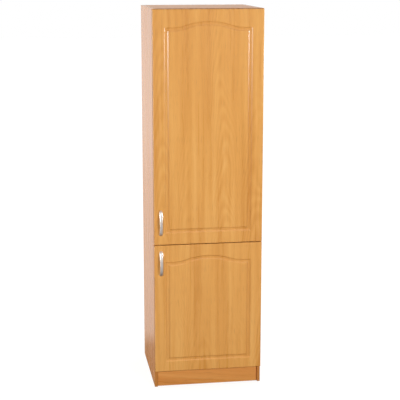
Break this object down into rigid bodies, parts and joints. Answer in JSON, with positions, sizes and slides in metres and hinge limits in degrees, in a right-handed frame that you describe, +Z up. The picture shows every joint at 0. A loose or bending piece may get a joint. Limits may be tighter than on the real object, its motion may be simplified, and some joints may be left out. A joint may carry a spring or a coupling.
{
  "type": "tall kitchen larder cabinet",
  "caption": "Tall kitchen larder cabinet in honey alder decor with arched, right-hung doors, bow handles, shelves and a recessed plinth.",
  "frame": {"origin": "on the floor, below the middle of the overall box, handles included", "axes": "+Z up, the doors face -Y and their hinges are at +X"},
  "size_m": [0.6, 0.612, 2.1],
  "materials": {
    "door_front": "satin foil, honey alder grain",
    "carcass_board": "satin melamine, honey alder grain",
    "plinth_board": "satin melamine, lying grain",
    "back_board": "printed hardboard",
    "dowel_wood": "plain beech",
    "fitting_steel": "nickel-plated",
    "handle_nickel": "satin nickel",
    "strip_plastic": "matte",
    "glide_plastic": "matte",
    "bumper_rubber": "clear soft"
  },
  "bodies": {
    "carcass": {"side_panel_left": "carcass_board", "side_panel_right": "carcass_board", "top_panel": "carcass_board", "bottom_panel": "carcass_board", "fixed_shelf": "carcass_board", "plinth": "plinth_board", "wall_rail": "carcass_board", "lower_shelf": "carcass_board", "upper_shelf_1": "carcass_board", "upper_shelf_2": "carcass_board", "upper_shelf_3": "carcass_board", "back_panel_lower": "back_board", "back_panel_upper": "back_board", "back_strip": "strip_plastic", "base_glides": "glide_plastic", "dowels": "dowel_wood", "cam_drums": "fitting_steel", "cam_bolts": "fitting_steel", "hinge_plates": "fitting_steel", "hinge_plate_screws": "fitting_steel", "hinge_arms": "fitting_steel", "hinge_arm_screws": "fitting_steel", "shelf_pins": "fitting_steel"},
    "upper_leaf": {"upper_door": "door_front", "upper_hinge_cups": "fitting_steel", "upper_cup_screws": "fitting_steel", "upper_hinge_pins": "fitting_steel", "upper_handle": "handle_nickel", "upper_handle_screws": "fitting_steel", "upper_door_bumpers": "bumper_rubber"},
    "lower_leaf": {"lower_door": "door_front", "lower_hinge_cups": "fitting_steel", "lower_cup_screws": "fitting_steel", "lower_hinge_pins": "fitting_steel", "lower_handle": "handle_nickel", "lower_handle_screws": "fitting_steel", "lower_door_bumpers": "bumper_rubber"}
  },
  "joints": [
    {"name": "upper_door_swing", "type": "hinge", "parent": "carcass", "child": "upper_leaf", "pos_m": [0.2914, -0.267, 1.4635], "axis": [0, 0, 1], "range_deg": [0, 95]},
    {"name": "lower_door_swing", "type": "hinge", "parent": "carcass", "child": "lower_leaf", "pos_m": [0.2914, -0.267, 0.463], "axis": [0, 0, 1], "range_deg": [0, 95]}
  ]
}
